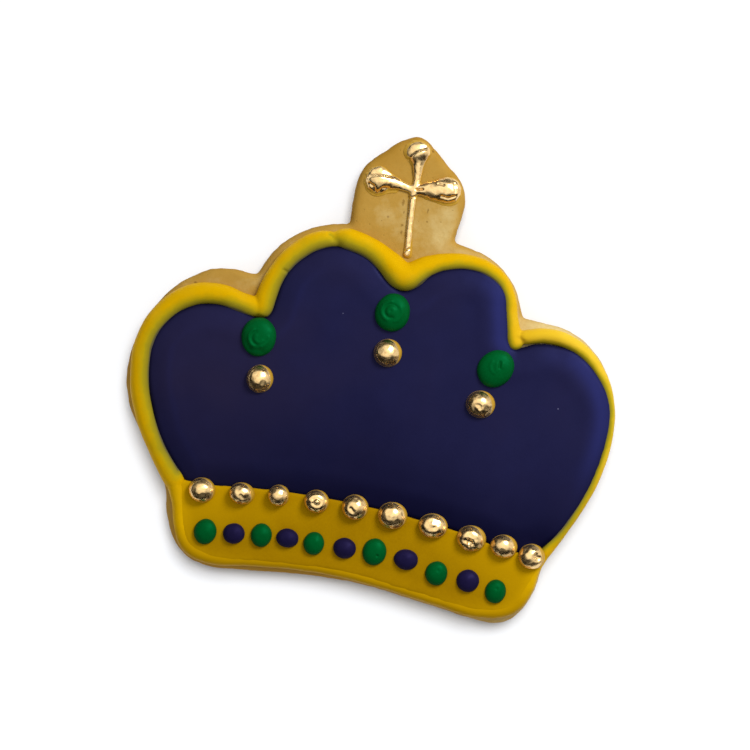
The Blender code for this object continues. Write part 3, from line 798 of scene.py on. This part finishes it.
def pipe_border():
    """Five piped lines, run together where they touch, that the violet has bled into, with painted shade and
    a painted highlight.
    """
    mesh = net([piped(lapped(points, lap), rise) for points, rise, lap in LINES], BORDER_NET, PIPED_RUBS)
    shape = roughen(mesh, read_shape(mesh), (0.07, 5.0, 12), (0.03, 2.0, 13))
    marks = [(laid(line), depth, width) for line, depth, width in BORDER_MARKS]
    shape = press_marks(mesh, shape, marks)
    edge = moved_aside(traced((*VIOLET_EDGE, seam_points(0.0)[0])), VIOLET_LAP)
    # dye bleed with painted shade on the lines' inner sides, fading with distance from the violet's edge
    reach = np.interp(shape[:, 0], *BLEED_AND_SHADE_REACH) * (
        1 + uneven(shape, (0.2, 2.2, 14), (0.12, 0.7, 15)))
    bleed = 1 - how_far(shape, edge) / reach
    for line, _, width in marks[:2]:
        bleed = np.maximum(bleed, MARK_BLEED_AND_SHADE * hump(how_far(shape, line), width))
    keep_values(mesh, "bleed", bleed)
    # painted shade along the band's foot
    keep_values(mesh, "dull", np.interp(shape[:, 1], *FOOT_SHADE_UP))
    # painted highlight on the right, above the band
    pale = np.interp(shape[:, 0], *LINE_HIGHLIGHT_ACROSS) * np.interp(shape[:, 1], *LINE_HIGHLIGHT_UP)
    keep_values(mesh, "pale", pale + uneven(shape, (0.15, 2.5, 16)))
    finish(mesh, "yellow_border_piped", "yellow_piped_icing", "yellow_border")


DROP_FLATNESS = {"lobe": 0.62, "band": 0.72}
DROP_FOOT = ((0.97, -0.35), (0.0, -0.35))


def dome(flatness, rings=26):
    """Profile of a settled drop: from its top, over a round shoulder, to its foot and back to the axis."""
    turns = [math.pi / 2 * i / rings for i in range(rings + 1)]
    outline = [(math.sin(t), max(math.cos(t), 0.0) ** flatness) for t in turns]
    outline[0] = (0.0, 1.0)
    return [*outline, *DROP_FOOT]


def drop_shape(mesh, node, width, length, turn, seed):
    """Stretch a unit drop over a CAD node, turn it and make its outline uneven."""
    low, high = (np.array(corner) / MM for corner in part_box(node))
    shape = read_shape(mesh) * MM
    angle = np.arctan2(shape[:, 1], shape[:, 0])
    ring = np.column_stack((np.cos(angle), np.sin(angle), np.full(len(angle), seed * 3.7)))
    flat = shape[:, :2] * (1 + uneven(ring, (0.03, 0.9, seed)))[:, None] * (width / 2, length / 2)
    cos, sin = math.cos(math.radians(turn)), math.sin(math.radians(turn))
    foot = low[2] - DROP_SINK
    middle = (low + high) / 2
    return np.column_stack((
        middle[0] + cos * flat[:, 0] - sin * flat[:, 1],
        middle[1] + sin * flat[:, 0] + cos * flat[:, 1],
        foot + (high[2] - foot) * shape[:, 2],
    )), middle


def arc(x, y, radius, start, end, steps=14):
    """Points along part of a ring round (x, y), from one angle to another in degrees."""
    turns = [math.radians(start + (end - start) * i / steps) for i in range(steps + 1)]
    return [(x + radius * math.cos(t), y + radius * math.sin(t)) for t in turns]


# Marks that the piping tip left on the lobes' drops: lines from the drop's middle, depth and width
LOBE_MARKS = {
    "left": (
        (arc(-0.1, 0.0, 1.75, 130, 245), -0.16, 0.3), (arc(-0.1, 0.0, 1.25, 120, 260), 0.13, 0.26),
        (arc(0.1, -0.1, 0.7, 150, 330), -0.1, 0.3), (arc(0.1, 0.1, 1.7, -70, 10), -0.12, 0.3),
        (((-1.2, -2.4), (1.2, -2.4)), 0.12, 0.5), (((-2.4, -1.0), (-1.4, -2.3)), 0.1, 0.4),
    ),
    "middle": (
        (arc(-0.3, 0.3, 1.8, 100, 250), -0.14, 0.32), (arc(-0.3, 0.3, 1.25, 40, 290), 0.15, 0.26),
        (arc(-0.4, 0.3, 0.5, -60, 220), -0.12, 0.36), (arc(0.0, 0.1, 1.7, -70, 40), -0.1, 0.3),
    ),
    "right": (
        (((0.45, 1.2), (0.5, 0.3)), 0.24, 0.24), (((-0.1, 0.9), (-0.05, -0.3)), -0.1, 0.4),
        (((0.95, 1.0), (1.0, 0.4)), -0.1, 0.3), (arc(0.2, 0.4, 1.4, 150, 250), -0.1, 0.32),
    ),
}


def pipe_lobe_drops():
    """The three large green drops, each with the rings and pits that the piping tip left."""
    for seed, (side, (width, length, turn, *shift)) in enumerate(LOBE_DROPS.items(), start=20):
        node = f"lobe_drop_{side}"
        mesh = turned(dome(DROP_FLATNESS["lobe"], 40), 96)
        shape, middle = drop_shape(mesh, node, width, length, turn, seed)
        shape[:, :2] += shift
        write_shape(mesh, shape)
        marks = [
            ([(middle[0] + x, middle[1] + y) for x, y in line], *size) for line, *size in LOBE_MARKS[side]
        ]
        roughen(mesh, press_marks(mesh, shape, marks), (0.03, 1.4, seed))
        finish(mesh, f"{node}_piped", "green_royal_icing", node)


VIOLET_DROP_SPREAD = (1.06, 1.03)  # the violet drops ran wider than the green ones
BAND_MARKS = {  # middle of the tip's mark from the drop's middle, depth, width
    1: (0.2, 0.2, -0.1, 0.7), 2: (0.1, 0.3, -0.12, 0.6), 3: (0.2, 0.3, -0.08, 0.6), 4: (0.3, 0.1, -0.1, 0.6),
    5: (0.4, 0.5, -0.1, 0.5), 6: (0.3, 0.0, -0.09, 0.7), 7: (0.6, -0.6, 0.28, 0.22), 8: (0.1, 0.4, -0.1, 0.6),
    9: (0.2, 0.6, 0.1, 0.3), 10: (-0.2, 0.3, -0.1, 0.6), 11: (0.1, 0.6, 0.12, 0.3),
}


def pipe_band_drops():
    """The band's small drops, green at the odd numbers and violet at the even ones."""
    for i, (x, y, depth, reach) in BAND_MARKS.items():
        node = f"band_drop_{i:02d}"
        low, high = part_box(node)
        width, length = (high.x - low.x) / MM, (high.y - low.y) / MM
        icing, slot = "green_royal_icing", "green_icing"
        if i % 2 == 0:
            icing, slot = "violet_drop_icing", "violet_icing"
            width, length = VIOLET_DROP_SPREAD[0] * width, VIOLET_DROP_SPREAD[1] * length
        mesh = turned(dome(DROP_FLATNESS["band"]), 48)
        shape, middle = drop_shape(mesh, node, width, length, 0, 30 + i)
        write_shape(mesh, shape)
        spot = (middle[0] + x, middle[1] + y)
        shape = press(shape, outward(mesh), (spot, spot), depth, reach)
        roughen(mesh, shape, (0.03, 1.3, 50 + i))
        finish(mesh, f"{node}_piped", icing, node)


PEARL_SPREAD = 1.03
PEARL_SUNK, PEARL_SETTLED = 0.25, 0.1  # how much lower the foot and the top lie than the solid's
PEARL_LEAN, PEARL_LEAN_UP = 0.06, 0.3
PEARL_CAP = 56.0  # from the top of the round cap to its shoulder, in degrees
PEARL_SHOULDER = 0.9
PEARL_FLANK = ((0.945, 0.9), (0.975, 0.75), (0.995, 0.5), (1.01, 0.2), (1.02, 0.0))
PEARL_ROOT = ((1.03, -0.1), (1.03, -0.3), (0.0, -0.3))
PEARL_FACETS = 9
PEARL_FACET_DEPTH = (0.968, 0.99)
FACET_SPREAD, FACET_LIFT = (1, 1, 0.6), (0, 0, 1.6)
FACET_BLUNT = 0.008
FACET_WIDEST, OUT_OF_REACH = 0.3, 9.0
PEARL_BARE, PEARL_BARE_SIDE = (0.08, 0.19), math.radians(25)
PAINT_EDGE = 0.04
DENT_DEPTH, DENT_WIDTH = 0.6, 1.2

# Dents in the pearls: lines from the pearl's middle in shares of its radius, then depth and width
PEARL_DENTS = {
    "row_pearl_02": ((arc(0.25, -0.05, 0.3, 200, 330), 0.1, 0.16),),
    "row_pearl_04": (
        (arc(0.05, -0.02, 0.3, -150, 150), 0.2, 0.14), (arc(0.05, -0.02, 0.05, 0, 180), -0.12, 0.2),
    ),
    "row_pearl_05": ((((-0.3, -0.15), (-0.15, -0.3)), 0.2, 0.15),),
    "row_pearl_07": ((arc(0.0, 0.1, 0.35, 20, 200), 0.08, 0.15), (((-0.2, -0.3), (0.1, -0.1)), 0.1, 0.14)),
    "row_pearl_08": (
        (((-0.4, -0.25), (0.0, -0.3)), 0.22, 0.16), (((-0.2, -0.15), (-0.1, -0.6)), 0.2, 0.13),
        (((0.0, -0.3), (0.25, -0.5)), 0.15, 0.12), (((-0.1, 0.2), (0.35, 0.0)), 0.08, 0.14),
    ),
    "row_pearl_10": (
        (((0.3, 0.2), (0.55, -0.1)), 0.2, 0.14), (((0.25, 0.05), (0.6, 0.05)), 0.14, 0.1),
        (arc(0.4, 0.0, 0.25, 90, 260), 0.1, 0.12),
    ),
    "lobe_pearl_right": ((arc(-0.2, -0.3, 0.22, 0, 250), 0.1, 0.14),),
}


def hammered(direction, planes, blunt):
    """How far out a ball of unit size reaches in each direction when flat facets are pressed into it."""
    reach = np.ones(len(direction))
    for facing, depth in planes:
        along = direction @ facing
        facet = np.where(along > FACET_WIDEST, depth / np.maximum(along, FACET_WIDEST), OUT_OF_REACH)
        mix = np.clip(0.5 + (facet - reach) / (2 * blunt), 0, 1)
        reach = facet * (1 - mix) + reach * mix - blunt * mix * (1 - mix)
    return reach


def pearl_profile(share, steps=34):
    """Profile of a low round cap, which takes a share of the height, on a steep foot."""
    full = math.radians(PEARL_CAP)
    turns = [full * i / steps for i in range(steps + 1)]
    base, low = 1 - share, math.cos(full)
    cap = [
        (PEARL_SHOULDER * math.sin(t) / math.sin(full), base + share * (math.cos(t) - low) / (1 - low))
        for t in turns
    ]
    return [*cap, *((radius, height * base) for radius, height in PEARL_FLANK), *PEARL_ROOT]


def gild_pearls():
    """Drops of yellow icing under gold paint, crumpled like foil, with the foot left bare on one side."""
    random = np.random.default_rng(7)
    names = [f"lobe_pearl_{side}" for side in ("left", "middle", "right")]
    names += [f"row_pearl_{i:02d}" for i in range(1, 11)]
    for seed, node in enumerate(names, start=60):
        low, high = (np.array(corner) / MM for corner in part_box(node))
        half = (high - low)[:2] / 2 * PEARL_SPREAD
        foot, top = low[2] - PEARL_SUNK, high[2] - PEARL_SETTLED
        middle = (low + high) / 2
        ball_radius = PEARL_SHOULDER * half.mean() / math.sin(math.radians(PEARL_CAP))
        cap_height = ball_radius * (1 - math.cos(math.radians(PEARL_CAP)))
        mesh = turned(pearl_profile(cap_height / (top - foot)), 72)
        shape = read_shape(mesh) * MM
        across, ring = np.hypot(shape[:, 0], shape[:, 1]), np.arctan2(shape[:, 1], shape[:, 0])
        bare = random.uniform(*PEARL_BARE) * np.clip(np.cos(ring - PEARL_BARE_SIDE), 0, 1) ** 2
        around = np.column_stack((np.cos(ring), np.sin(ring), np.full(len(ring), seed * 2.3)))
        painted = 1.02 - bare + uneven(around, (0.02, 0.8, seed))
        paint = (painted - across) / PAINT_EDGE * np.clip((shape[:, 2] - 0.1) / 0.1, 0, 1)
        keep_values(mesh, "paint", paint)
        lean = np.clip((shape[:, 2] - 0.2) / 0.4, 0, 1) * PEARL_LEAN
        shape = np.column_stack((
            middle[0] + (shape[:, 0] - lean) * half[0],
            middle[1] + (shape[:, 1] - PEARL_LEAN_UP * lean) * half[1],
            foot + shape[:, 2] * (top - foot),
        ))
        heart = np.array((middle[0], middle[1], top - ball_radius))
        ball = (shape - heart) / ball_radius
        planes = []
        for _ in range(PEARL_FACETS):
            facing = random.normal(size=3) * FACET_SPREAD + FACET_LIFT
            planes.append((facing / np.linalg.norm(facing), random.uniform(*PEARL_FACET_DEPTH)))
        reach = hammered(ball / np.linalg.norm(ball, axis=1)[:, None], planes, FACET_BLUNT)
        body = np.clip((across - 1.0) / -0.1, 0, 1) * (shape[:, 2] > foot + 0.1)
        shape = heart + (shape - heart) * (1 + body * (reach - 1))[:, None]
        write_shape(mesh, shape)
        dents = [(
            [(middle[0] + x * half[0], middle[1] + y * half[1]) for x, y in line],
            DENT_DEPTH * depth * half[0], DENT_WIDTH * width * half[0],
        ) for line, depth, width in PEARL_DENTS.get(node, ())]
        roughen(mesh, press_marks(mesh, shape, dents), (0.02, 0.6, seed))
        finish(mesh, f"{node}_gilded", "gold_paint_on_icing", node)


# Folds and dents in the cross: lines, depth and width
CROSS_FOLDS = (
    (((-7.8, 33.9), (-6.2, 34.35), (-4.6, 34.6), (-3.1, 34.6)), 0.28, 0.26),
    (((-0.8, 38.0), (-0.2, 39.1), (0.6, 39.9), (2.0, 40.7)), 0.26, 0.24),
    (((-7.0, 32.6), (-6.2, 32.2), (-5.8, 31.4)), 0.3, 0.3),
    (((-5.0, 31.4), (-4.4, 32.2), (-3.5, 32.3)), 0.3, 0.3),
    (((1.7, 33.1), (2.7, 33.3)), 0.4, 0.2), (((5.5, 34.8), (6.4, 34.7)), 0.22, 0.2),
    (((8.4, 35.3), (8.8, 33.8)), 0.12, 0.3), (((6.3, 32.6), (7.7, 32.4), (9.0, 33.1)), 0.2, 0.25),
    (((0.7, 31.4), (1.9, 31.8)), 0.2, 0.18), (((1.5, 21.7), (2.3, 22.2)), 0.2, 0.16),
)

# Where the end of a stroke lies flat under its last turn: the edge, which way is under, and how much lower
CROSS_LAPS = (
    (((-8.2, 33.8), (-6.2, 34.35), (-4.6, 34.6), (-2.4, 34.6)), (-0.2, 1.0), 0.5),
    (((-1.2, 37.4), (-0.2, 39.1), (0.6, 39.9), (2.4, 40.9)), (-0.7, 0.7), 0.45),
)
LAP_EDGE, LAP_REACH, LAP_FADE = 0.3, 3.0, 0.5  # width of the step, how far the lower part goes, how it ends
BARE_FOOT, BARE_BELOW = 0.13, 0.12  # height that the paint left bare, and how much more on the lower sides
FOOT_EDGE = 0.08


def gild_cross():
    """Four piped strokes under gold paint, folded and wrinkled where the paint dried."""
    strokes = [piped(points, CROSS_RISE, cap=CROSS_CAP, step=CROSS_STEP) for points in CROSS_STROKES]
    spread = [piped(points, SPREAD_RISE, SPREAD_FLOOR) for points in CROSS_SPREAD]
    mesh = net([*strokes, *spread], CROSS_NET, PIPED_RUBS)
    shape = read_shape(mesh)
    for line, under, share in CROSS_LAPS:
        near, way = way_to(shape, laid(line))
        sunk = np.clip(-near * np.sign(way @ np.array(under)) / LAP_EDGE, 0, 1)
        sunk *= np.clip((LAP_REACH - near) / LAP_FADE, 0, 1)
        shape[:, 2] -= share * sunk * np.clip(shape[:, 2] - LINE_FLOOR, 0, None)
    write_shape(mesh, shape)
    shape = press_marks(mesh, shape, [(laid(line), depth, width) for line, depth, width in CROSS_FOLDS])
    shape = roughen(mesh, shape, (0.05, 1.3, 90), (0.025, 0.6, 91))
    bare = BARE_FOOT + BARE_BELOW * np.clip(-outward(mesh)[:, 1], 0, 1) + uneven(shape, (0.08, 0.8, 92))
    keep_values(mesh, "paint", (shape[:, 2] - LINE_FLOOR - bare) / FOOT_EDGE)
    finish(mesh, "cross_gilded", "gold_paint_on_icing", "cross")


# ---------------- stage

PICTURE_WIDTH = 136.92
CAMERA_HEIGHT = 600.0
SENSOR_WIDTH = 36.0
CAMERA_ROLL = 10.0
CAMERA_PLACE = (0.08, -1.68)

FLOOR_SIZE = 1.5
FLOOR_DROP = 0.05  # the floor lies this much lower than the dough's sole
FLOOR_COLOUR, FLOOR_GLOW = (0.69, 0.705, 0.73), 0.03

KEY_PLACE, KEY_AIM = (0.12, 0.17, 0.21), (0.0, 0.0, 0.0)
KEY_POWER, KEY_RADIUS = 2.8, 0.06
KEY_CONE, KEY_BLEND = 110.0, 0.6
FLOOR_LAMP = (0.022, 0.088, 0.28)
FLOOR_POWER, FLOOR_SOFTNESS = 3.08, 28.0

# Light of the room: the way it is strongest in, how near to that way it starts and ends, and both strengths
ROOM_LIGHT = ((0.1, 0.15, 1.0), (-0.15, 0.75), (0.08, 0.64))
CEILING_SHINE = ((-0.03, 0.26, 1.0), (0.55, 0.85), (0.012, 1.22))  # these two shine back from glossy things
SIDE_SHINE = ((0.9, 0.3, 0.3), (0.75, 0.95), (0.0, 0.9))


def lay_floor():
    bm = bmesh.new()
    bmesh.ops.create_grid(bm, x_segments=1, y_segments=1, size=FLOOR_SIZE)
    mesh = mesh_of(bm, "floor")
    floor = placed("floor", mesh)
    floor.location.z = -FLOOR_DROP * MM
    tree, shader, _ = new_finish("pale_floor", 0.9, specular=0.0)
    shader["Base Color"].default_value = (*FLOOR_COLOUR, 1.0)
    shader["Emission Color"].default_value = (1.0, 1.0, 1.0, 1.0)
    shader["Emission Strength"].default_value = FLOOR_GLOW
    mesh.materials.append(bpy.data.materials["pale_floor"])
    return floor


def hang_light(name, kind, place, aim, power, **settings):
    light = bpy.data.lights.new(name, kind)
    light.energy = power
    for setting, value in settings.items():
        setattr(light, setting, value)
    lamp = placed(name, light)
    lamp.location = place
    lamp.rotation_euler = (Vector(aim) - Vector(place)).to_track_quat("-Z", "Y").to_euler()
    lamp.visible_camera = False
    return lamp


def light_only(lamp, thing, state):
    """Let a lamp light one thing alone, with INCLUDE, or everything else, with EXCLUDE."""
    chosen = bpy.data.collections.new(f"lit_by_{lamp.name}")
    chosen.objects.link(thing)
    lamp.light_linking.receiver_collection = chosen
    chosen.collection_objects[0].light_linking.link_state = state


def light_from(tree, way, strongest, span, strengths):
    """Strength of the room's light from a way, by how near it is to the strongest one."""
    inputs = {0: way, 1: Vector(strongest).normalized()}
    near = add_node(tree, "VectorMath", inputs, operation="DOT_PRODUCT")["Value"]
    return stretch(tree, near, *span, *strengths)


def light_stage(floor):
    key = hang_light(
        "soft_key", "SPOT", KEY_PLACE, KEY_AIM, KEY_POWER,
        spot_size=math.radians(KEY_CONE), spot_blend=KEY_BLEND, shadow_soft_size=KEY_RADIUS,
    )
    light_only(key, floor, "EXCLUDE")
    wash = hang_light(
        "floor_wash", "SUN", FLOOR_LAMP, KEY_AIM, FLOOR_POWER, angle=math.radians(FLOOR_SOFTNESS),
    )
    light_only(wash, floor, "INCLUDE")
    world = bpy.data.worlds.new("room")
    bpy.context.scene.world = world
    world.use_nodes = True
    tree = world.node_tree
    background = tree.nodes["Background"].inputs
    background["Color"].default_value = (1.0, 1.0, 1.0, 1.0)
    way = add_node(tree, "TexCoord", {})["Generated"]
    ceiling, side = light_from(tree, way, *CEILING_SHINE), light_from(tree, way, *SIDE_SHINE)
    shine = add_node(tree, "Math", {0: ceiling, 1: side}, operation="MAXIMUM")["Value"]
    glossy = add_node(tree, "LightPath", {})["Is Glossy Ray"]
    room = light_from(tree, way, *ROOM_LIGHT)
    strength = add_node(tree, "Mix", {"Factor": glossy, 2: room, 3: shine})[0]
    feed(tree, strength, background["Strength"])


def set_camera():
    camera = bpy.data.cameras.new("camera")
    camera.sensor_width = SENSOR_WIDTH
    camera.lens = SENSOR_WIDTH * CAMERA_HEIGHT / PICTURE_WIDTH
    camera.clip_start = 0.01
    stand = placed("camera", camera)
    x, y = CAMERA_PLACE[0] + AT_REST[0], CAMERA_PLACE[1] + AT_REST[1]
    stand.location = (x * MM, y * MM, (CAMERA_HEIGHT + VIOLET_TOP) * MM)
    stand.rotation_euler = (0, 0, math.radians(CAMERA_ROLL))
    bpy.context.scene.camera = stand
    bpy.context.scene.view_settings.view_transform = "Standard"


set_camera()
make_finishes()
bake_dough()
flood_violet()
flood_band()
pipe_border()
pipe_lobe_drops()
pipe_band_drops()
gild_pearls()
gild_cross()
light_stage(lay_floor())
